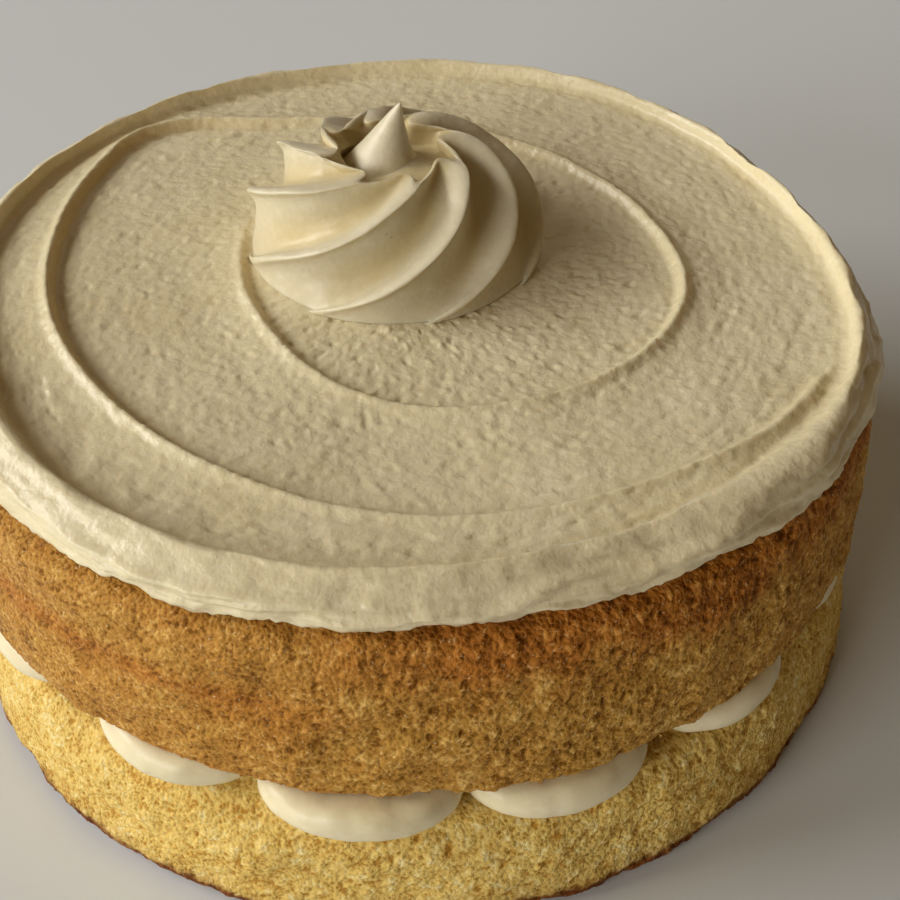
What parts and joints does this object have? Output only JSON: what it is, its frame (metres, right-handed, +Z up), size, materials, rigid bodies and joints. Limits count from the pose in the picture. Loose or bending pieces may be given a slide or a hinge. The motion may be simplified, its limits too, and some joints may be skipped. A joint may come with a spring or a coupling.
{
  "type": "layer cake",
  "caption": "Round vanilla layer cake: sponge layers with dollops of cream between them, buttercream with a palette-knife spiral on top, and a piped rosette.",
  "frame": {"origin": "middle of the flat base that the cake stands on", "axes": "+Z up; the front, where the open end of the icing's spiral and the rosette's broad side face the viewer, is -Y"},
  "size_m": [0.1564, 0.1573, 0.0849],
  "materials": {
    "browned_sponge": "matte, browned sponge",
    "pale_sponge": "matte, open pale crumb",
    "piped_cream": "smooth, slightly glossy cream",
    "vanilla_buttercream": "satin buttercream"
  },
  "bodies": {
    "root": {"buttercream_rosette": "vanilla_buttercream", "buttercream_top": "vanilla_buttercream", "cream_dollop_01": "piped_cream", "cream_dollop_02": "piped_cream", "cream_dollop_03": "piped_cream", "cream_dollop_04": "piped_cream", "cream_dollop_05": "piped_cream", "cream_dollop_06": "piped_cream", "cream_dollop_07": "piped_cream", "cream_dollop_08": "piped_cream", "cream_dollop_09": "piped_cream", "cream_dollop_10": "piped_cream", "cream_dollop_11": "piped_cream", "cream_dollop_12": "piped_cream", "cream_dollop_13": "piped_cream", "cream_dollop_14": "piped_cream", "cream_dollop_15": "piped_cream", "cream_dollop_16": "piped_cream", "cream_filling": "piped_cream", "lower_sponge": "pale_sponge", "upper_sponge": "browned_sponge"}
  },
  "joints": []
}
